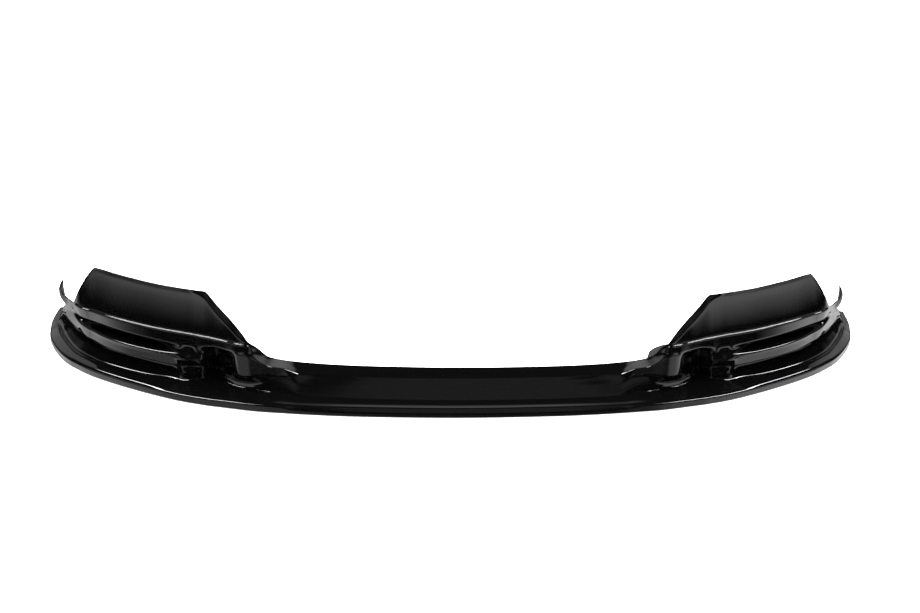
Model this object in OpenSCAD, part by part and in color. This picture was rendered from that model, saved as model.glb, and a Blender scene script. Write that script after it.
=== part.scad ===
// Front splitter lip for a saloon car: one moulded shell.
// Frame: +X to the car's left seen from the front camera side, +Y to the rear, +Z up, millimetres.
// The shell is a loft. Each key section stands on a guide line along the blade's front face, and its
// nineteen corners are given as [inset from that line, height]. Corners, from the rear or top
// edge of the sheet to the underside return:
//  0 free edge  1 fold  2 crest or panel base  3 ledge in front of the panel  4-7 upper scoop
//  8 fin top  9 fin bottom  10-13 lower scoop  14 blade ridge  15 inner edge of the chamfer
//  16 outer edge of the chamfer  17 blade bottom edge  18 end of the underside return

/* [Shell] */
// Wall thickness of the moulding
wall = 3; // [2.6:0.1:3.2]
// Shift of the frame's origin back from the blade's front edge
origin_back = 208.5; // [200:0.5:220]

/* [Rounding] */
// Rounding at the crest, ledge, fin and blade edges
edge_r = 4; // [3:0.5:4.5]
// Rounding in the bottoms of the scoops
scoop_r = 5; // [4:0.5:7]
// Rounding of the blade's bottom edge
base_r = 2; // [1.5:0.5:3]

/* [Ear] */
// Height of the top of the flat ear on the +X side
ear_top = 62; // [60:0.5:63]

/* [Fixing holes] */
// Diameter of the clearance holes in the rear flange
rear_hole_d = 6.4; // [5:0.1:8]
// Spacing of the four holes in the rear flange
rear_hole_pitch = 150; // [140:1:160]
// Distance of the row of holes behind the blade's front edge
rear_hole_y = 110; // [106:1:114]
// Diameter of the holes in the underside return near the wheel arches
arch_hole_d = 6.4; // [5:0.1:8]

/* [Hidden] */
$fn = 48;

// Key sections of the right half, from the middle to the rear end of the blade:
// [[x, y of the guide line, heading in degrees], nineteen [inset, height]]
KEYS = [
 [[0,0,0],      [124,32],[89,32],[81,62],[70,56],[58,51],[53,46],[49,42],[45,38],[42,35],[39,32],[36,29],[33,26],[30,23],[26,20],[17,17],[7,16],[-1,8],[-1,0],[24,0]],
 [[180,5,2],    [124,32],[90,32],[82,62],[71,56],[58,51],[53,46],[49,42],[45,38],[42,35],[39,32],[36,29],[33,26],[30,23],[26,20],[17,17],[7,16],[-1,8],[-1,0],[24,0]],
 [[300,15,4],   [134,32],[98,32],[89,60],[79,56],[65,51],[60,47],[55,43],[50,39],[46,36],[43,33],[39,30],[35,27],[31,24],[27,20.5],[17,17],[5,15],[-1,8],[-1,0],[24,0]],
 [[330,19,5],   [124,37],[99,40],[91,60],[86,60],[78,60],[54,62],[54,58],[54,54],[54,49],[53,46],[48,42],[44,38],[39,35],[33,24],[18,18],[5,16],[-1,13],[-1,0],[24,0]],
 [[355,22,6],   [120,42],[99,45],[92,62],[86,63],[78,64],[51,66],[51,63],[51,57],[51,50],[52,47],[48,43],[44,39],[40,36],[34,25],[19,19],[4,16],[-1,14],[-1,0],[24,0]],
 [[375,25,7],   [100,58],[88,66],[84,71],[80,73],[70,75],[45,78],[45,70],[45,61],[45,52],[46,48],[44,43],[43,39],[42,35],[36,24.5],[20,19.5],[4,15.5],[-1,14],[-1,0],[24,0]],
 [[385,27,7],   [64,100],[62.5,99],[61,98],[59,97],[54,91],[41,87],[41,76],[41,64],[41,52],[43,48],[42,43],[42,39],[43,35],[38,25],[22,20],[4,15.5],[-1,14],[-1,0],[24,0]],
 [[395,29,8],   [50,114.5],[48,113],[46,111],[43,110],[41,97],[38,93],[38,79],[38,64],[38,50],[40,46],[41,41],[42,38],[43,34],[39,24.5],[24,20],[4,15.5],[-1,14],[-1,0],[24,0]],
 [[412,33,9],   [58.5,130],[49.5,121],[47,112],[43,111],[40,97],[38,92],[38,78],[38,63],[38,48],[41,45],[42,41],[43,38],[44,34],[40,24.5],[25,20],[4,15.5],[-1,14],[-1,0],[24,0]],
 [[446,41,12],  [76,151],[64,141],[56,110],[52,109],[49,94],[57,84],[58,73],[57,64],[57,57],[57,49],[56,41],[55,37],[53,31],[49,26],[24,20],[4,15.5],[-1,14],[-1,0],[24,0]],
 [[467,46,13],  [84.5,165],[72.5,156],[60,110],[56,109],[53,94],[69,87],[71,77],[71,68],[71,60],[71,53],[71,47],[71,42],[69,32],[65,28],[24,19.5],[4,15.5],[-1,14],[-1,0],[24,0]],
 [[480,50,14],  [89.5,174],[77.5,166],[62,110],[58,109],[54,92],[78,86],[84,77],[84,68],[84,61],[84,53],[84,47],[84,43],[83,33],[79,29],[24,19],[4,15.5],[-1,14],[-1,0],[24,0]],
 [[497,55,15],  [93.5,186],[84.5,178],[64,109],[60,108],[56,88],[57,80],[56,75],[54,70],[52,66],[53,48],[52,43],[51,39],[50,34],[48,25.5],[24,19.5],[4,15.5],[-1,14],[-1,0],[24,0]],
 [[509,59,16],  [91,187],[86,182],[65,109],[61,108],[57,86],[55,80],[53,75],[50,70],[47,66],[50,48],[48,43],[46,39],[44,34],[42,26.5],[24,20.5],[4,15.5],[-1,14],[-1,0],[24,0]],
 [[528,66,19],  [87,188],[85.5,183],[65,109],[61,108],[56,85],[52,79],[48,75],[43,71],[38,66],[45,48],[42,44],[38,40],[37,34],[35,25],[22,20.5],[4,15.5],[-1,14],[-1,0],[24,0]],
 [[552,76,21],  [85,188],[83.5,183],[63,109],[59,108],[54,85],[56,79],[52,73],[43,70],[42,62.5],[41,47],[46,46],[53,42],[48,33],[36,23.5],[20,19.5],[4,16],[-1,14],[-1,0],[24,0]],
 [[605,101,26], [80.5,188],[79,183],[58,109],[54,108],[50,86],[72,80],[68,71],[40,68],[40.5,61.5],[39,47],[43,46],[54,41],[48,30],[33,17.5],[17,19],[3,17.5],[-1,14],[-1,0],[24,0]],
 [[655,127,31], [79.5,188],[78,183],[56,109],[52,108],[49,86],[72,80],[68,71],[38,68],[38.5,61.5],[37,46],[41,45],[54,41],[48,30],[32,15.5],[15,19],[3,17.5],[-1,14],[-1,0],[24,0]],
 [[705,157,36], [77.5,188],[76,183],[53,109],[49,108],[49,86],[68,80],[65,72],[40,68],[40.5,61.5],[39,45],[44,43.5],[54,41],[48,30],[30,15],[15,20],[3,17.5],[-1,14],[-1,0],[24,0]],
 [[743,187,41], [71.5,188],[70,184],[48,108],[45,107],[46,85],[64,79],[62,72],[43,67],[43,61.5],[41.5,45.5],[46,43],[54,41],[48,30],[29,15],[15,21],[3,17.5],[-1,14],[-1,0],[24,0]],
 [[749,192,42], [65,179],[63,172],[46,108],[43,107],[45,85],[63,79],[61,72],[43,67],[43,62],[41.5,45.5],[46,43],[54,41],[48,30],[29,15],[15,21],[3,17.5],[-1,14],[-1,0],[24,0]],
 [[771,215,46], [44,127],[43,122],[40,111],[38,108],[41,86],[54,80],[53,73],[43,69],[42,66],[42,47],[45,45],[52,41],[47,31],[28,15],[15,22],[3,17.5],[-1,14],[-1,0],[24,0]],
 [[788,238,52], [43,103],[43,99],[43,94],[43,90],[42,89],[46,84],[46,77],[43,71],[42,66],[40,49],[42,47],[48,42],[44,32],[28,15],[15,22.5],[3,17.5],[-1,14],[-1,0],[24,0]],
 [[803,262,58], [42,97],[42,94],[42,90],[42,86],[42,82],[42,78],[43,74],[43,70],[42,66],[39,48],[40,46],[46,41],[42,31],[28,15.5],[15,23],[3,17.5],[-1,14],[-1,0],[24,0]],
 [[811,277,62], [37,100],[37,96],[38,92],[38,88],[39,83],[40,78],[41,74],[41,70],[41,66],[38,48],[39,46],[45,41],[41,31],[27,16],[15,23],[3,17.5],[-1,14],[-1,0],[24,0]],
 [[815,285,64], [30,113],[30,107],[30,101],[31,95],[32,88],[35,82],[37,77],[39,71],[40,66],[37,48],[38,46],[44,41],[40,31],[27,16],[15,23],[3,17],[-1,14],[-1,0],[24,0]],
 [[817,290,66], [34,126],[30,118],[28,110],[28,102],[29,94],[33,86],[35,79],[37,72],[39,66],[37,48],[38,46],[43,41],[39,31],[27,16],[15,23],[3,17],[-1,14],[-1,0],[24,0]],
 [[819,295,67], [40,133],[34,124],[29,114],[28,104],[29,95],[33,87],[35,79],[37,72],[38,66],[36,48],[37,46],[42,41],[38,31],[26,16],[15,23],[3,17],[-1,14],[-1,0],[24,0]],
 [[821,301,69], [37,119],[33,112],[31,104],[31,97],[32,90],[34,83],[35,77],[36,71],[37,65],[35,48],[36,46],[41,41],[37,31],[25,16.5],[15,22.5],[3,17],[-1,14],[-1,0],[24,0]],
 [[823,308,71], [38,84],[37,81],[37,79],[36,76],[36,74],[36,71],[36,68],[36,66],[36,62],[34,48],[35,45],[39,40],[35,31],[24,17],[15,22],[3,17],[-1,14],[-1,0],[24,0]],
 [[827,325,75], [34,64],[34,63],[34,62],[34,61],[34,60],[34,59],[34,58],[33,56],[33,54],[31,46],[32,43],[34,38],[31,31],[23,17.5],[14,20],[3,16],[-1,14],[-1,0],[24,0]],
 [[834,357,80], [25,46],[25,45],[25,44],[25,43],[25,42],[25,41],[25,40],[24,39],[23,38],[22,35],[22,33],[22,30],[20,27],[17,22],[13,16],[2,15],[-1,13.5],[-1,0],[22,0]],
 [[837,387,85], [19,30],[19,29.4],[19,28.8],[19,28.2],[19,27.6],[19,27],[19,26.4],[18,25.6],[18,25],[17,23],[17,22],[16,20.6],[15,19],[13,17],[10,15],[2,14.5],[-1,13],[-1,0],[18,0]],
 [[838,417,88], [15,20],[15,19.7],[15,19.4],[15,19.1],[15,18.8],[15,18.5],[14,18.2],[14,17.9],[14,17.6],[14,17.2],[13,16.8],[12,16.4],[11,16],[10,15.5],[8,15],[2,14.5],[-1,13],[-1,0],[15,0]]
];
// How many strips each gap between key sections is cut into
STRIPS = [1,1,1,1,1,1,1,1,2,1,1,2,1,1,1,2,2,2,2,1,2,2,1,1,1,1,1,1,1,1,2,2,1];
// Rounding of each corner: 0 none, 1 edge, 2 scoop, 4 the blade's small radius
ROUND = [0,1,1,1,1,2,2,1,1,1,1,2,2,1,1,4,1,4,0];
C = len(ROUND);

function flat3(k) = [for (v = k) each v];
function flip(f) = [for (i = [0:len(f)-1]) (i == 0 || i == 2) ? -f[i] : f[i]];
HALF = [for (k = KEYS) flat3(k)];
NK = len(HALF);
FULL = concat([for (i = [NK-1:-1:1]) flip(HALF[i])], HALF);
NF = len(FULL);
function run(i) = i == 0 ? 0 : run(i-1) + norm([FULL[i][0]-FULL[i-1][0], FULL[i][1]-FULL[i-1][1]]);
KT = [for (i = [0:NF-1]) run(i)];
// Shape-keeping cubic slopes, so that no value overshoots its key sections
function slope(i, c) =
    (i == 0) ? (FULL[1][c]-FULL[0][c])/(KT[1]-KT[0]) :
    (i == NF-1) ? (FULL[i][c]-FULL[i-1][c])/(KT[i]-KT[i-1]) :
    let (h0 = KT[i]-KT[i-1], h1 = KT[i+1]-KT[i],
         d0 = (FULL[i][c]-FULL[i-1][c])/h0, d1 = (FULL[i+1][c]-FULL[i][c])/h1)
    d0*d1 <= 0 ? 0 : 3*(h0+h1)/((2*h1+h0)/d0 + (h1+2*h0)/d1);
NC = len(FULL[0]);
SL = [for (i = [0:NF-1]) [for (c = [0:NC-1]) slope(i, c)]];
function blend(i, q, c) =
    let (h = KT[i+1]-KT[i], q2 = q*q, q3 = q2*q)
    (2*q3-3*q2+1)*FULL[i][c] + (q3-2*q2+q)*h*SL[i][c] + (3*q2-2*q3)*FULL[i+1][c] + (q3-q2)*h*SL[i+1][c];
CUTS = concat([for (i = [len(STRIPS)-1:-1:0]) STRIPS[i]], STRIPS);
// One row of values for each station along the lip
ROWS = concat([for (i = [0:NF-2]) for (j = [0:CUTS[i]-1]) [for (c = [0:NC-1]) blend(i, j/CUTS[i], c)]],
              [FULL[NF-1]]);
NS = len(ROWS);
function corner(r, k) = [r[3+2*k], r[4+2*k]];
function reach(k) = ROUND[k] == 1 ? edge_r : ROUND[k] == 2 ? scoop_r : ROUND[k] == 4 ? base_r : 6;
// A section in its own plane: each rounded corner gives two points
function section(r) = concat([corner(r, 0)],
    [for (k = [1:C-2])
        let (p = corner(r, k), a = corner(r, k-1)-p, b = corner(r, k+1)-p,
             ra = min(reach(k), 0.45*norm(a)), rb = min(reach(k), 0.45*norm(b)))
        each [p + a*(ra/max(norm(a), 0.001)), p + b*(rb/max(norm(b), 0.001))]],
    [corner(r, C-1)]);
function place(r, q) = [r[0] - q[0]*sin(r[2]), r[1] + q[0]*cos(r[2]) - origin_back, q[1]];
SKIN = [for (r = ROWS) [for (q = section(r)) place(r, q)]];
NP = len(SKIN[0]);
function unit(v) = v/max(norm(v), 0.000001);
function at(i, j) = SKIN[min(max(i, 0), NS-1)][min(max(j, 0), NP-1)];
// Outward direction at each point, from its neighbours along and across the lip
function out(i, j) = unit(cross(unit(at(i, j+1)-at(i, j-1)), unit(at(i+1, j)-at(i-1, j))));
BACK = [for (i = [0:NS-1]) [for (j = [0:NP-1]) SKIN[i][j] - wall*out(i, j)]];

module shell() {
    pts = concat([for (r = SKIN) each r], [for (r = BACK) each r]);
    n = NS*NP;
    faces = concat(
        [for (i = [0:NS-2]) for (j = [0:NP-2])
            each [[i*NP+j, i*NP+j+1, (i+1)*NP+j+1], [i*NP+j, (i+1)*NP+j+1, (i+1)*NP+j]]],
        [for (i = [0:NS-2]) for (j = [0:NP-2])
            each [[n+i*NP+j, n+(i+1)*NP+j+1, n+i*NP+j+1], [n+i*NP+j, n+(i+1)*NP+j, n+(i+1)*NP+j+1]]],
        [for (i = [0:NS-2]) each [[i*NP, (i+1)*NP, n+(i+1)*NP], [i*NP, n+(i+1)*NP, n+i*NP]]],
        [for (i = [0:NS-2]) let (a = i*NP+NP-1, b = a+NP) each [[a, n+b, b], [a, n+a, n+b]]],
        [for (j = [0:NP-2]) each [[j, n+j+1, j+1], [j, n+j, n+j+1]]],
        [for (j = [0:NP-2]) let (a = (NS-1)*NP+j) each [[a, a+1, n+a+1], [a, n+a+1, n+a]]]);
    polyhedron(points = pts, faces = [for (f = faces) [f[2], f[1], f[0]]], convexity = 12);
}

// Flat ear behind the foot of one corner panel, on the +X side only
module ear() {
    translate([0, -origin_back, ear_top - wall])
        linear_extrude(height = wall)
            offset(r = 5) offset(delta = -5)
                polygon([[334,106],[356,118],[364,146],[376,160],[392,171],[411,177],[424,152],[400,122],[374,108]]);
}

module rear_holes() {
    for (i = [-1.5:1:1.5])
        translate([i*rear_hole_pitch, rear_hole_y - origin_back, 20])
            cylinder(h = 20, d = rear_hole_d);
}

module arch_holes() {
    for (s = [-1, 1])
        translate([s*816, 328 - origin_back, -2])
            cylinder(h = 8, d = arch_hole_d);
}

module splitter_lip() {
    color([0.03, 0.03, 0.035])
        difference() {
            union() {
                shell();
                ear();
            }
            rear_holes();
            arch_holes();
        }
}

splitter_lip();
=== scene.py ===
import math

import bmesh
import bpy
import numpy as np
from mathutils import Matrix


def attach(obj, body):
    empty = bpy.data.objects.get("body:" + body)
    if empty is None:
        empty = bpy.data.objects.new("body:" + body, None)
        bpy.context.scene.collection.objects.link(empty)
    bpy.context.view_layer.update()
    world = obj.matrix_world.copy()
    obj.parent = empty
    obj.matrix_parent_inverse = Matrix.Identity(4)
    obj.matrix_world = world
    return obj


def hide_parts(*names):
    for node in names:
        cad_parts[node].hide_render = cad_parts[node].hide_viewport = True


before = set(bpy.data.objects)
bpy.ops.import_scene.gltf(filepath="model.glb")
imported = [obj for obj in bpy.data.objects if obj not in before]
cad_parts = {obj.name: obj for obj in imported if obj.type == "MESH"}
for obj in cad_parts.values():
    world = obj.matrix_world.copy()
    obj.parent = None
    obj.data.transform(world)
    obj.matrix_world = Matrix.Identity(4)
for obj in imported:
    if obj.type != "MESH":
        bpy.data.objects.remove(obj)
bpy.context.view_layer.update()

# ---------------------------------------------------------------- the shell
# Key sections of the right half, in millimetres, the same as the construction's:
# [[x, y of the guide line, heading in degrees], nineteen [inset, height]]
# Corners: 0 free edge, 1 fold, 2 crest or panel base, 3 ledge in front of the panel, 4-7 upper scoop,
# 8 fin top, 9 fin bottom, 10-13 lower scoop, 14 blade ridge, 15 inner edge of the chamfer,
# 16 outer edge of the chamfer, 17 blade bottom edge, 18 end of the underside return
ORIGIN_BACK = 208.5
WALL = 3.0
EAR_TOP = 62.0
KEYS = [
 [[0,0,0],      [124,32],[89,32],[81,62],[70,56],[58,51],[53,46],[49,42],[45,38],[42,35],[39,32],[36,29],[33,26],[30,23],[26,20],[17,17],[7,16],[-1,8],[-1,0],[24,0]],
 [[180,5,2],    [124,32],[90,32],[82,62],[71,56],[58,51],[53,46],[49,42],[45,38],[42,35],[39,32],[36,29],[33,26],[30,23],[26,20],[17,17],[7,16],[-1,8],[-1,0],[24,0]],
 [[300,15,4],   [134,32],[98,32],[89,60],[79,56],[65,51],[60,47],[55,43],[50,39],[46,36],[43,33],[39,30],[35,27],[31,24],[27,20.5],[17,17],[5,15],[-1,8],[-1,0],[24,0]],
 [[330,19,5],   [124,37],[99,40],[91,60],[86,60],[78,60],[54,62],[54,58],[54,54],[54,49],[53,46],[48,42],[44,38],[39,35],[33,24],[18,18],[5,16],[-1,13],[-1,0],[24,0]],
 [[355,22,6],   [120,42],[99,45],[92,62],[86,63],[78,64],[51,66],[51,63],[51,57],[51,50],[52,47],[48,43],[44,39],[40,36],[34,25],[19,19],[4,16],[-1,14],[-1,0],[24,0]],
 [[375,25,7],   [100,58],[88,66],[84,71],[80,73],[70,75],[45,78],[45,70],[45,61],[45,52],[46,48],[44,43],[43,39],[42,35],[36,24.5],[20,19.5],[4,15.5],[-1,14],[-1,0],[24,0]],
 [[385,27,7],   [64,100],[62.5,99],[61,98],[59,97],[54,91],[41,87],[41,76],[41,64],[41,52],[43,48],[42,43],[42,39],[43,35],[38,25],[22,20],[4,15.5],[-1,14],[-1,0],[24,0]],
 [[395,29,8],   [50,114.5],[48,113],[46,111],[43,110],[41,97],[38,93],[38,79],[38,64],[38,50],[40,46],[41,41],[42,38],[43,34],[39,24.5],[24,20],[4,15.5],[-1,14],[-1,0],[24,0]],
 [[412,33,9],   [58.5,130],[49.5,121],[47,112],[43,111],[40,97],[38,92],[38,78],[38,63],[38,48],[41,45],[42,41],[43,38],[44,34],[40,24.5],[25,20],[4,15.5],[-1,14],[-1,0],[24,0]],
 [[446,41,12],  [76,151],[64,141],[56,110],[52,109],[49,94],[57,84],[58,73],[57,64],[57,57],[57,49],[56,41],[55,37],[53,31],[49,26],[24,20],[4,15.5],[-1,14],[-1,0],[24,0]],
 [[467,46,13],  [84.5,165],[72.5,156],[60,110],[56,109],[53,94],[69,87],[71,77],[71,68],[71,60],[71,53],[71,47],[71,42],[69,32],[65,28],[24,19.5],[4,15.5],[-1,14],[-1,0],[24,0]],
 [[480,50,14],  [89.5,174],[77.5,166],[62,110],[58,109],[54,92],[78,86],[84,77],[84,68],[84,61],[84,53],[84,47],[84,43],[83,33],[79,29],[24,19],[4,15.5],[-1,14],[-1,0],[24,0]],
 [[497,55,15],  [93.5,186],[84.5,178],[64,109],[60,108],[56,88],[57,80],[56,75],[54,70],[52,66],[53,48],[52,43],[51,39],[50,34],[48,25.5],[24,19.5],[4,15.5],[-1,14],[-1,0],[24,0]],
 [[509,59,16],  [91,187],[86,182],[65,109],[61,108],[57,86],[55,80],[53,75],[50,70],[47,66],[50,48],[48,43],[46,39],[44,34],[42,26.5],[24,20.5],[4,15.5],[-1,14],[-1,0],[24,0]],
 [[528,66,19],  [87,188],[85.5,183],[65,109],[61,108],[56,85],[52,79],[48,75],[43,71],[38,66],[45,48],[42,44],[38,40],[37,34],[35,25],[22,20.5],[4,15.5],[-1,14],[-1,0],[24,0]],
 [[552,76,21],  [85,188],[83.5,183],[63,109],[59,108],[54,85],[56,79],[52,73],[43,70],[42,62.5],[41,47],[46,46],[53,42],[48,33],[36,23.5],[20,19.5],[4,16],[-1,14],[-1,0],[24,0]],
 [[605,101,26], [80.5,188],[79,183],[58,109],[54,108],[50,86],[72,80],[68,71],[40,68],[40.5,61.5],[39,47],[43,46],[54,41],[48,30],[33,17.5],[17,19],[3,17.5],[-1,14],[-1,0],[24,0]],
 [[655,127,31], [79.5,188],[78,183],[56,109],[52,108],[49,86],[72,80],[68,71],[38,68],[38.5,61.5],[37,46],[41,45],[54,41],[48,30],[32,15.5],[15,19],[3,17.5],[-1,14],[-1,0],[24,0]],
 [[705,157,36], [77.5,188],[76,183],[53,109],[49,108],[49,86],[68,80],[65,72],[40,68],[40.5,61.5],[39,45],[44,43.5],[54,41],[48,30],[30,15],[15,20],[3,17.5],[-1,14],[-1,0],[24,0]],
 [[743,187,41], [71.5,188],[70,184],[48,108],[45,107],[46,85],[64,79],[62,72],[43,67],[43,61.5],[41.5,45.5],[46,43],[54,41],[48,30],[29,15],[15,21],[3,17.5],[-1,14],[-1,0],[24,0]],
 [[749,192,42], [65,179],[63,172],[46,108],[43,107],[45,85],[63,79],[61,72],[43,67],[43,62],[41.5,45.5],[46,43],[54,41],[48,30],[29,15],[15,21],[3,17.5],[-1,14],[-1,0],[24,0]],
 [[771,215,46], [44,127],[43,122],[40,111],[38,108],[41,86],[54,80],[53,73],[43,69],[42,66],[42,47],[45,45],[52,41],[47,31],[28,15],[15,22],[3,17.5],[-1,14],[-1,0],[24,0]],
 [[788,238,52], [43,103],[43,99],[43,94],[43,90],[42,89],[46,84],[46,77],[43,71],[42,66],[40,49],[42,47],[48,42],[44,32],[28,15],[15,22.5],[3,17.5],[-1,14],[-1,0],[24,0]],
 [[803,262,58], [42,97],[42,94],[42,90],[42,86],[42,82],[42,78],[43,74],[43,70],[42,66],[39,48],[40,46],[46,41],[42,31],[28,15.5],[15,23],[3,17.5],[-1,14],[-1,0],[24,0]],
 [[811,277,62], [37,100],[37,96],[38,92],[38,88],[39,83],[40,78],[41,74],[41,70],[41,66],[38,48],[39,46],[45,41],[41,31],[27,16],[15,23],[3,17.5],[-1,14],[-1,0],[24,0]],
 [[815,285,64], [30,113],[30,107],[30,101],[31,95],[32,88],[35,82],[37,77],[39,71],[40,66],[37,48],[38,46],[44,41],[40,31],[27,16],[15,23],[3,17],[-1,14],[-1,0],[24,0]],
 [[817,290,66], [34,126],[30,118],[28,110],[28,102],[29,94],[33,86],[35,79],[37,72],[39,66],[37,48],[38,46],[43,41],[39,31],[27,16],[15,23],[3,17],[-1,14],[-1,0],[24,0]],
 [[819,295,67], [40,133],[34,124],[29,114],[28,104],[29,95],[33,87],[35,79],[37,72],[38,66],[36,48],[37,46],[42,41],[38,31],[26,16],[15,23],[3,17],[-1,14],[-1,0],[24,0]],
 [[821,301,69], [37,119],[33,112],[31,104],[31,97],[32,90],[34,83],[35,77],[36,71],[37,65],[35,48],[36,46],[41,41],[37,31],[25,16.5],[15,22.5],[3,17],[-1,14],[-1,0],[24,0]],
 [[823,308,71], [38,84],[37,81],[37,79],[36,76],[36,74],[36,71],[36,68],[36,66],[36,62],[34,48],[35,45],[39,40],[35,31],[24,17],[15,22],[3,17],[-1,14],[-1,0],[24,0]],
 [[827,325,75], [34,64],[34,63],[34,62],[34,61],[34,60],[34,59],[34,58],[33,56],[33,54],[31,46],[32,43],[34,38],[31,31],[23,17.5],[14,20],[3,16],[-1,14],[-1,0],[24,0]],
 [[834,357,80], [25,46],[25,45],[25,44],[25,43],[25,42],[25,41],[25,40],[24,39],[23,38],[22,35],[22,33],[22,30],[20,27],[17,22],[13,16],[2,15],[-1,13.5],[-1,0],[22,0]],
 [[837,387,85], [19,30],[19,29.4],[19,28.8],[19,28.2],[19,27.6],[19,27],[19,26.4],[18,25.6],[18,25],[17,23],[17,22],[16,20.6],[15,19],[13,17],[10,15],[2,14.5],[-1,13],[-1,0],[18,0]],
 [[838,417,88], [15,20],[15,19.7],[15,19.4],[15,19.1],[15,18.8],[15,18.5],[14,18.2],[14,17.9],[14,17.6],[14,17.2],[13,16.8],[12,16.4],[11,16],[10,15.5],[8,15],[2,14.5],[-1,13],[-1,0],[15,0]]
]
C = 19
# How far the corner panel bulges in the middle of its height
CROWN = 1.2
# Rounding at each corner in millimetres
REACH = [0, 3, 2, 3, 3, 5, 6, 3.5, 3, 3, 3.5, 6, 6, 4, 3, 2, 2.5, 2, 0]
ARC = 6


def full_keys():
    half = np.array([[v for g in k for v in g] for k in KEYS], float)
    left = half[1:][::-1].copy()
    left[:, 0] *= -1
    left[:, 2] *= -1
    return np.vstack([left, half])


def slopes(t, v):
    """Shape-keeping cubic slopes"""
    h = np.diff(t)[:, None]
    d = np.diff(v, axis=0) / h
    m = np.zeros_like(v)
    m[0], m[-1] = d[0], d[-1]
    h0, h1, d0, d1 = h[:-1], h[1:], d[:-1], d[1:]
    safe = (d0 * d1) > 0
    a = np.where(safe, d0, 1.0)
    b = np.where(safe, d1, 1.0)
    mid = 3 * (h0 + h1) / ((2 * h1 + h0) / a + (h1 + 2 * h0) / b)
    m[1:-1] = np.where(safe, mid, 0.0)
    return m


def loft(full):
    """The section's values at every millimetre along the guide line"""
    t = np.concatenate([[0], np.cumsum(np.hypot(*np.diff(full[:, :2], axis=0).T))])
    m = slopes(t, full)
    fine = np.arange(0, t[-1], 0.5)
    fine = np.append(fine, t[-1])
    i = np.clip(np.searchsorted(t, fine, side="right") - 1, 0, len(t) - 2)
    h = (t[i + 1] - t[i])[:, None]
    q = (fine - t[i])[:, None] / h
    v = (
        (2 * q**3 - 3 * q**2 + 1) * full[i]
        + (q**3 - 2 * q**2 + q) * h * m[i]
        + (3 * q**2 - 2 * q**3) * full[i + 1]
        + (q**3 - q**2) * h * m[i + 1]
    )
    return t, fine, v


def stations(t, gaps):
    """Where the lip is cut, with the given number of strips in each gap between keys"""
    out = [t[0]]
    for i, n in enumerate(gaps):
        out += [t[i] + (t[i + 1] - t[i]) * (j + 1) / n for j in range(n)]
    return np.array(out)


def smooth(fine, v, at, sigma):
    """Values at the stations, averaged over a small length on each side"""
    out = np.empty((len(at), v.shape[1]))
    for k, (s, w) in enumerate(zip(at, sigma)):
        w = min(w, max((s - fine[0]) / 3, 0.02), max((fine[-1] - s) / 3, 0.02))
        lo, hi = np.searchsorted(fine, [s - 3 * w - 0.3, s + 3 * w + 0.3])
        g = np.exp(-0.5 * ((fine[lo:hi] - s) / max(w, 0.25)) ** 2)
        out[k] = (g[:, None] * v[lo:hi]).sum(0) / g.sum()
    return out


def bezier(a, p, b, n):
    u = np.linspace(0, 1, n + 1)[:, None]
    return (1 - u) ** 2 * a + 2 * u * (1 - u) * p + u**2 * b


def section(row):
    """The section's outer line, and which of its points the inner face uses"""
    c = row[3:].reshape(C, 2)
    pts, use = [c[0]], [0]
    last = c[0]

    def flat(a, b):
        d = np.linalg.norm(b - a)
        w = min(1.2, 0.25 * d)
        for f in (w, d - w):
            pts.append(a + (b - a) * (f / max(d, 1e-6)))

    for k in range(1, C - 1):
        p = c[k]
        a, b = c[k - 1] - p, c[k + 1] - p
        la, lb = max(np.linalg.norm(a), 1e-6), max(np.linalg.norm(b), 1e-6)
        reach = REACH[k]
        if k == 14:
            # the ridge of the sides flattens out towards the middle
            reach = 3 + 6 * min(max((620 - abs(row[0])) / 60, 0), 1)
        elif k == 13 and 345 < abs(row[0]) < 545:
            reach = 2
        ra, rb = min(reach, 0.45 * la), min(reach, 0.45 * lb)
        n = {1: 4, 15: 4, 17: 3}.get(k, ARC)
        arc = bezier(p + a * (ra / la), p, p + b * (rb / lb), n)
        if k == 2:
            # the corner panel is slightly crowned
            rise = max(c[1][1] - c[2][1], 1.0)
            crown = lambda z: 4 * CROWN * (z / 74) * (1 - z / 74) if 0 < z < 74 else 0.0
            d = arc[0] - last
            for u in (0.04, 0.22, 0.4, 0.6, 0.78, 0.96):
                q = last + d * u
                z = q[1] - c[2][1]
                off = crown(z) - crown(rise) * z / rise
                pts.append(q - np.array([off if rise > 6 else 0.0, 0.0]))
        else:
            flat(last, arc[0])
        use += [len(pts), len(pts) + n // 2, len(pts) + n]
        pts.extend(arc)
        last = arc[-1]
    flat(last, c[-1])
    use.append(len(pts))
    pts.append(c[-1])
    return np.array(pts), use


def place(row, q):
    a = math.radians(row[2])
    return np.c_[
        row[0] - q[:, 0] * math.sin(a), row[1] + q[:, 0] * math.cos(a) - ORIGIN_BACK, q[:, 1]
    ]


def unit(v):
    return v / np.maximum(np.linalg.norm(v, axis=-1, keepdims=True), 1e-9)


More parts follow.
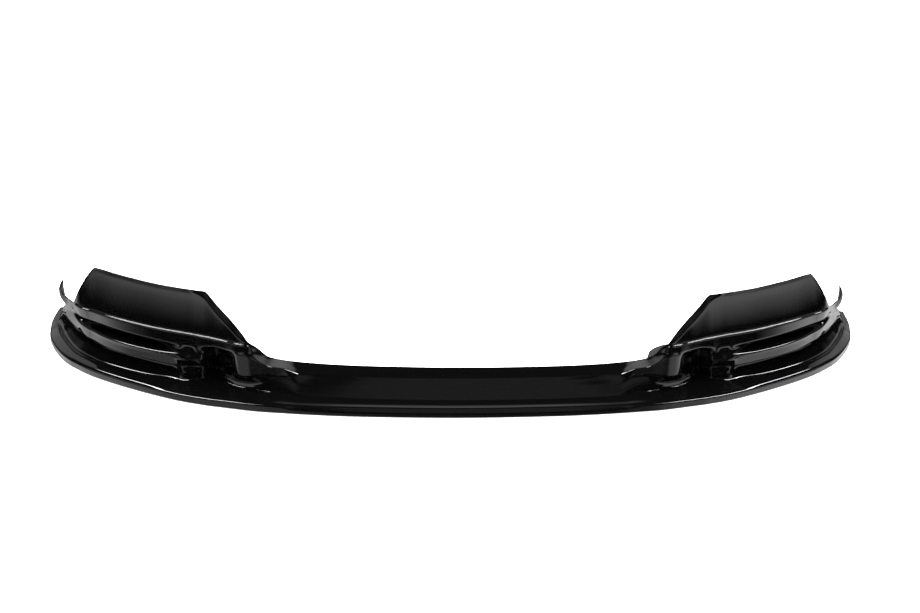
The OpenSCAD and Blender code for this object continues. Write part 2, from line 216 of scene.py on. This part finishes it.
def build_shell():
    full = full_keys()
    t, fine, v = loft(full)
    gaps = GAPS[::-1] + GAPS
    at = stations(t, gaps)
    mid = t[-1] / 2
    sig = np.interp(np.abs(at - mid), SIGMA_AT, SIGMA)
    rows = smooth(fine, v, at, sig)
    rows[0], rows[-1] = full[0], full[-1]
    lines = [section(r) for r in rows]
    use = lines[0][1]
    skin = np.array([place(r, q) for r, (q, _) in zip(rows, lines)])
    ns, npt = skin.shape[:2]
    along = np.gradient(skin, axis=0)
    across = np.gradient(skin, axis=1)
    out = unit(np.cross(across, along))
    back = (skin - WALL * out)[:, use]
    nb = len(use)
    # rounded rims along the two long edges of the sheet
    rims = []
    for j, k in ((0, 1), (npt - 1, npt - 2)):
        e = unit(skin[:, j] - skin[:, k])
        n = out[:, j]
        edge = skin[:, j]
        rims.append([edge - 0.3 * e - 0.35 * n, edge - 1.5 * n, edge - 0.3 * e - 2.65 * n])
        skin[:, j] = edge - 1.0 * e
        back[:, 0 if j == 0 else -1] = edge - 1.0 * e - WALL * n
    verts = [skin.reshape(-1, 3), back.reshape(-1, 3)]
    faces = []
    n0 = ns * npt
    s = lambda i, j: i * npt + j
    b = lambda i, j: n0 + i * nb + j
    for i in range(ns - 1):
        for j in range(npt - 1):
            faces.append((s(i, j), s(i, j + 1), s(i + 1, j + 1), s(i + 1, j)))
        for j in range(nb - 1):
            faces.append((b(i, j), b(i + 1, j), b(i + 1, j + 1), b(i, j + 1)))
    base = n0 + ns * nb
    for side, rim in enumerate(rims):
        ids = []
        for r in rim:
            verts.append(r)
            ids.append(base)
            base += ns
        chain = (
            [lambda i: s(i, 0)] + [lambda i, o=o: o + i for o in ids] + [lambda i: b(i, 0)]
            if side == 0
            else [lambda i: s(i, npt - 1)]
            + [lambda i, o=o: o + i for o in ids]
            + [lambda i: b(i, nb - 1)]
        )
        for p, q in zip(chain, chain[1:]):
            for i in range(ns - 1):
                f = (p(i), p(i + 1), q(i + 1), q(i))
                faces.append(f if side == 0 else f[::-1])
        # close the rim's two ends
        for i, flip in ((0, False), (ns - 1, True)):
            f = tuple(c(i) for c in chain)
            if side == 1:
                flip = not flip
            faces.append(f[::-1] if flip else f)
    # the two ends of the sheet
    for i, flip in ((0, True), (ns - 1, False)):
        for k in range(nb - 1):
            lo_, hi_ = use[k], use[k + 1]
            f = tuple([s(i, j) for j in range(lo_, hi_ + 1)] + [b(i, k + 1), b(i, k)])
            faces.append(f[::-1] if flip else f)
    verts = np.vstack(verts) / 1000.0
    me = bpy.data.meshes.new("lip_shell")
    me.from_pydata(verts.tolist(), [], faces)
    me.validate()
    ob = bpy.data.objects.new("lip_shell", me)
    bpy.context.scene.collection.objects.link(ob)
    bm = bmesh.new()
    bm.from_mesh(me)
    bmesh.ops.recalc_face_normals(bm, faces=bm.faces)
    if bm.calc_volume(signed=True) < 0:
        bmesh.ops.reverse_faces(bm, faces=bm.faces)
    bm.to_mesh(me)
    bm.free()
    return ob


def drill(ob, x, y, z0, z1, d):
    bpy.ops.mesh.primitive_cylinder_add(
        vertices=40, radius=d / 2000, depth=(z1 - z0) / 1000,
        location=(x / 1000, (y - ORIGIN_BACK) / 1000, (z0 + z1) / 2000),
    )
    tool = bpy.context.object
    mod = ob.modifiers.new("hole", "BOOLEAN")
    mod.operation, mod.solver, mod.object = "DIFFERENCE", "MANIFOLD", tool
    bpy.context.view_layer.objects.active = ob
    bpy.ops.object.modifier_apply(modifier="hole")
    bpy.data.objects.remove(tool)


def add_ear(ob):
    """The flat ear behind the foot of the corner panel, on one side only"""
    raw = [(334, 106), (356, 118), (364, 146), (376, 160), (392, 171), (411, 177), (424, 152), (400, 122), (374, 108)]
    ring = []
    for i, p in enumerate(raw):
        p = np.array(p, float)
        a, b = np.array(raw[i - 1], float) - p, np.array(raw[(i + 1) % len(raw)], float) - p
        ra, rb = min(5, 0.45 * np.linalg.norm(a)), min(5, 0.45 * np.linalg.norm(b))
        ring.extend(bezier(p + a / np.linalg.norm(a) * ra, p, p + b / np.linalg.norm(b) * rb, 5))
    bm = bmesh.new()
    low = [bm.verts.new((x / 1000, (y - ORIGIN_BACK) / 1000, (EAR_TOP - WALL) / 1000)) for x, y in ring]
    face = bm.faces.new(low)
    top = bmesh.ops.extrude_face_region(bm, geom=[face])["geom"]
    bmesh.ops.translate(bm, verts=[v for v in top if isinstance(v, bmesh.types.BMVert)], vec=(0, 0, WALL / 1000))
    bmesh.ops.recalc_face_normals(bm, faces=bm.faces)
    edges = [e for e in bm.edges if abs(e.verts[0].co.z - e.verts[1].co.z) < 1e-6]
    bmesh.ops.bevel(bm, geom=edges, offset=0.0006, segments=2, affect="EDGES")
    me = bpy.data.meshes.new("ear")
    bm.to_mesh(me)
    bm.free()
    tool = bpy.data.objects.new("ear", me)
    bpy.context.scene.collection.objects.link(tool)
    mod = ob.modifiers.new("ear", "BOOLEAN")
    mod.operation, mod.solver, mod.object = "UNION", "MANIFOLD", tool
    bpy.context.view_layer.objects.active = ob
    bpy.ops.object.modifier_apply(modifier="ear")
    bpy.data.objects.remove(tool)


# strips between the key sections, from the middle outwards
GAPS = [5, 5, 6, 7, 8, 6, 6, 8, 11, 8, 8, 10, 8, 9, 8, 8, 8, 8, 8, 5, 10, 9, 8, 6, 5, 4, 4, 5, 5, 6, 7, 5, 4]
# how far the values are averaged along the lip, by distance from the middle
SIGMA_AT = [0, 260, 310, 380, 470, 500, 516, 560, 640, 760, 776, 795, 840, 860, 900, 930, 960, 1000, 1200]
SIGMA = [30, 20, 8, 3, 3, 1.2, 1.5, 6, 10, 8, 1.5, 1.5, 8, 5, 3, 4, 2, 1.5, 2]

shell = build_shell()
add_ear(shell)
for hx in (-225, -75, 75, 225):
    drill(shell, hx, 110, 20, 40, 6.4)
for hx in (-816, 816):
    drill(shell, hx, 328, -2, 6, 6.4)
shell.name = shell.data.name = "lip_shell"
for p in shell.data.polygons:
    p.use_smooth = True
shell.data.set_sharp_from_angle(angle=math.radians(50))
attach(shell, "root")
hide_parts("splitter_lip")

# ---------------------------------------------------------------- material
gloss = bpy.data.materials.new("gloss_black")
gloss.use_nodes = True
bsdf = gloss.node_tree.nodes["Principled BSDF"]
bsdf.inputs["Base Color"].default_value = (0.0012, 0.0012, 0.0013, 1)
bsdf.inputs["Roughness"].default_value = 0.04
bsdf.inputs["IOR"].default_value = 1.5
shell.data.materials.clear()
shell.data.materials.append(gloss)

# ---------------------------------------------------------------- floor
bpy.ops.mesh.primitive_circle_add(vertices=128, radius=14, fill_type="NGON", location=(0, 0, -0.0005))
floor = bpy.context.object
floor.name = "floor"
pale = bpy.data.materials.new("floor_pale")
pale.use_nodes = True
pb = pale.node_tree.nodes["Principled BSDF"]
pb.inputs["Base Color"].default_value = (0.9, 0.9, 0.9, 1)
pb.inputs["Roughness"].default_value = 0.9
pb.inputs["Specular IOR Level"].default_value = 0.0
pb.inputs["Emission Color"].default_value = (1, 1, 1, 1)
pb.inputs["Emission Strength"].default_value = 0.6
floor.data.materials.append(pale)
floor.visible_glossy = False


# ---------------------------------------------------------------- light
def direction(az, el):
    a, e = math.radians(az), math.radians(el)
    return (math.sin(a) * math.cos(e), -math.cos(a) * math.cos(e), math.sin(e))


def build_world():
    """Soft studio surroundings: pale below, dark round the middle, broad soft lights"""
    world = bpy.data.worlds.new("studio")
    bpy.context.scene.world = world
    world.use_nodes = True
    nt = world.node_tree
    nt.nodes.clear()
    coord = nt.nodes.new("ShaderNodeTexCoord")
    norm = nt.nodes.new("ShaderNodeVectorMath")
    norm.operation = "NORMALIZE"
    nt.links.new(coord.outputs["Generated"], norm.inputs[0])
    sep = nt.nodes.new("ShaderNodeSeparateXYZ")
    nt.links.new(norm.outputs[0], sep.inputs[0])

    def op(kind, a, b):
        n = nt.nodes.new("ShaderNodeMath")
        n.operation = kind
        for i, v in ((0, a), (1, b)):
            if isinstance(v, (int, float)):
                n.inputs[i].default_value = v
            else:
                nt.links.new(v, n.inputs[i])
        return n.outputs[0]

    def step(value, lo, hi, top=1.0):
        """0 at lo, top at hi, smooth between"""
        n = nt.nodes.new("ShaderNodeMapRange")
        n.interpolation_type = "SMOOTHSTEP"
        n.inputs["From Min"].default_value = lo
        n.inputs["From Max"].default_value = hi
        n.inputs["To Max"].default_value = top
        nt.links.new(value, n.inputs["Value"])
        return n.outputs["Result"]

    def lobe(az, el, inner, outer, strength):
        dot = nt.nodes.new("ShaderNodeVectorMath")
        dot.operation = "DOT_PRODUCT"
        nt.links.new(norm.outputs[0], dot.inputs[0])
        dot.inputs[1].default_value = direction(az, el)
        return step(dot.outputs["Value"], math.cos(math.radians(outer)), math.cos(math.radians(inner)), strength)

    def strip(az0, el0, az1, el1, inner, outer, strength):
        """A thin straight light between two directions"""
        d0, d1 = np.array(direction(az0, el0)), np.array(direction(az1, el1))
        pole = np.cross(d0, d1)
        pole /= np.linalg.norm(pole)
        mid = (d0 + d1) / np.linalg.norm(d0 + d1)
        half = math.degrees(math.acos(float(np.clip(d0 @ mid, -1, 1))))
        off, along = nt.nodes.new("ShaderNodeVectorMath"), nt.nodes.new("ShaderNodeVectorMath")
        for n, v in ((off, pole), (along, mid)):
            n.operation = "DOT_PRODUCT"
            nt.links.new(norm.outputs[0], n.inputs[0])
            n.inputs[1].default_value = tuple(float(c) for c in v)
        f = lambda a: math.sin(math.radians(a))
        g = lambda a: math.cos(math.radians(a))
        side = op("MULTIPLY", step(off.outputs["Value"], f(-outer), f(-inner)), step(off.outputs["Value"], f(outer), f(inner)))
        return op("MULTIPLY", side, step(along.outputs["Value"], g(half + outer), g(half), strength))

    z = sep.outputs["Z"]

    def band(lo0, lo1, hi0, hi1):
        """1 between two heights given in degrees, with soft edges"""
        f = lambda a: math.sin(math.radians(a))
        return op("MULTIPLY", step(z, f(lo0), f(lo1)), step(z, f(hi1), f(hi0)))

    # the pale floor, brighter on the right than in front and on the left
    x = sep.outputs["X"]
    side = op("ADD", FLOOR[0], op("ADD", step(x, 0.25, 0.8, FLOOR[1]), step(x, -0.05, -0.5, FLOOR[2])))
    down = step(z, math.sin(math.radians(-9)), math.sin(math.radians(-19)))
    total = op("ADD", op("MULTIPLY", down, side), 0.01)
    # soft walls, just above the horizon
    for lo0, lo1, hi0, hi1, az, inner, outer, strength in BANDS:
        total = op("ADD", total, op("MULTIPLY", band(lo0, lo1, hi0, hi1), lobe(az, 0, inner, outer, strength)))
    for args in LOBES:
        total = op("ADD", total, lobe(*args))
    path = nt.nodes.new("ShaderNodeLightPath")
    # the thin lights show as highlights only where they are mirrored directly
    once = op("LESS_THAN", path.outputs["Glossy Depth"], 1.5)
    for args in STRIPS:
        total = op("ADD", total, op("MULTIPLY", strip(*args), once))
    mix = nt.nodes.new("ShaderNodeMix")
    mix.data_type = "FLOAT"
    nt.links.new(path.outputs["Is Camera Ray"], mix.inputs[0])
    nt.links.new(total, mix.inputs[2])
    mix.inputs[3].default_value = 0.9
    bg = nt.nodes.new("ShaderNodeBackground")
    nt.links.new(mix.outputs[0], bg.inputs["Strength"])
    bg.inputs["Color"].default_value = (1, 1, 1, 1)
    end = nt.nodes.new("ShaderNodeOutputWorld")
    nt.links.new(bg.outputs[0], end.inputs["Surface"])


# floor strength in the middle, and what is added on the right and on the left
FLOOR = (0.12, 1.6, 0.5)
# lower edge from/to and upper edge from/to in degrees, azimuth, inner and outer radius, strength
BANDS = [
    (-5, 12, 12, 17, -58, 20, 34, 1.5),
    (-6, 8, 11, 17, 60, 24, 34, 1.7),
]
# azimuth (0 is the camera's side, + to the right), elevation, inner and outer radius, strength
LOBES = [
    (5, 63, 8, 20, 0.2),
    (-138, 26, 8, 28, 0.8),
    (138, 24, 8, 26, 0.9),
    (180, 32, 8, 24, 0.9),
    (128, 44, 6, 16, 0.3),
    (-100, -38, 10, 35, 1.0),
    (100, -38, 10, 35, 0.6),
]
# azimuth and elevation of a thin light's two ends, inner and outer half width, strength
STRIPS = [(-115, 66, -122, 51, 3, 5.5, 45), (116, 67, 123, 51, 3, 5.5, 45)]
build_world()


def area(name, loc, aim, size, power, glossy=False):
    light = bpy.data.lights.new(name, "AREA")
    light.shape, light.size, light.size_y = "RECTANGLE", size[0], size[1]
    light.energy = power
    ob = bpy.data.objects.new(name, light)
    bpy.context.scene.collection.objects.link(ob)
    ob.location = loc
    d = np.array(aim, float) - np.array(loc, float)
    z = -d / np.linalg.norm(d)
    x = np.cross([0, 1, 0.001], z)
    x /= np.linalg.norm(x)
    y = np.cross(z, x)
    m = Matrix(np.c_[x, y, z].tolist()).to_4x4()
    m.translation = loc
    ob.matrix_world = m
    ob.visible_glossy = glossy
    return ob


area("key_top", (0, 0.2, 3.2), (0, 0.2, 0), (4.5, 4.5), 420)

# ---------------------------------------------------------------- camera
cam_data = bpy.data.cameras.new("camera")
cam = bpy.data.objects.new("camera", cam_data)
bpy.context.scene.collection.objects.link(cam)
cam_data.sensor_width = 36
cam_data.lens = 1180.5 * 36 / 920
cam_data.shift_x = (460 - 590) / 920
cam_data.shift_y = 0
cam_data.clip_start, cam_data.clip_end = 0.05, 60
right, up, ahead = (0.995290, -0.084057, 0.048301), (-0.005519, 0.448285, 0.893873), (0.096789, 0.889929, -0.445710)
m = Matrix(np.c_[right, up, [-v for v in ahead]].tolist()).to_4x4()
m.translation = (0.024031, -1.865551 - ORIGIN_BACK / 1000, 1.165822)
cam.matrix_world = m
bpy.context.scene.camera = cam

bpy.context.scene.view_settings.view_transform = "Standard"
bpy.context.scene.view_settings.look = "None"
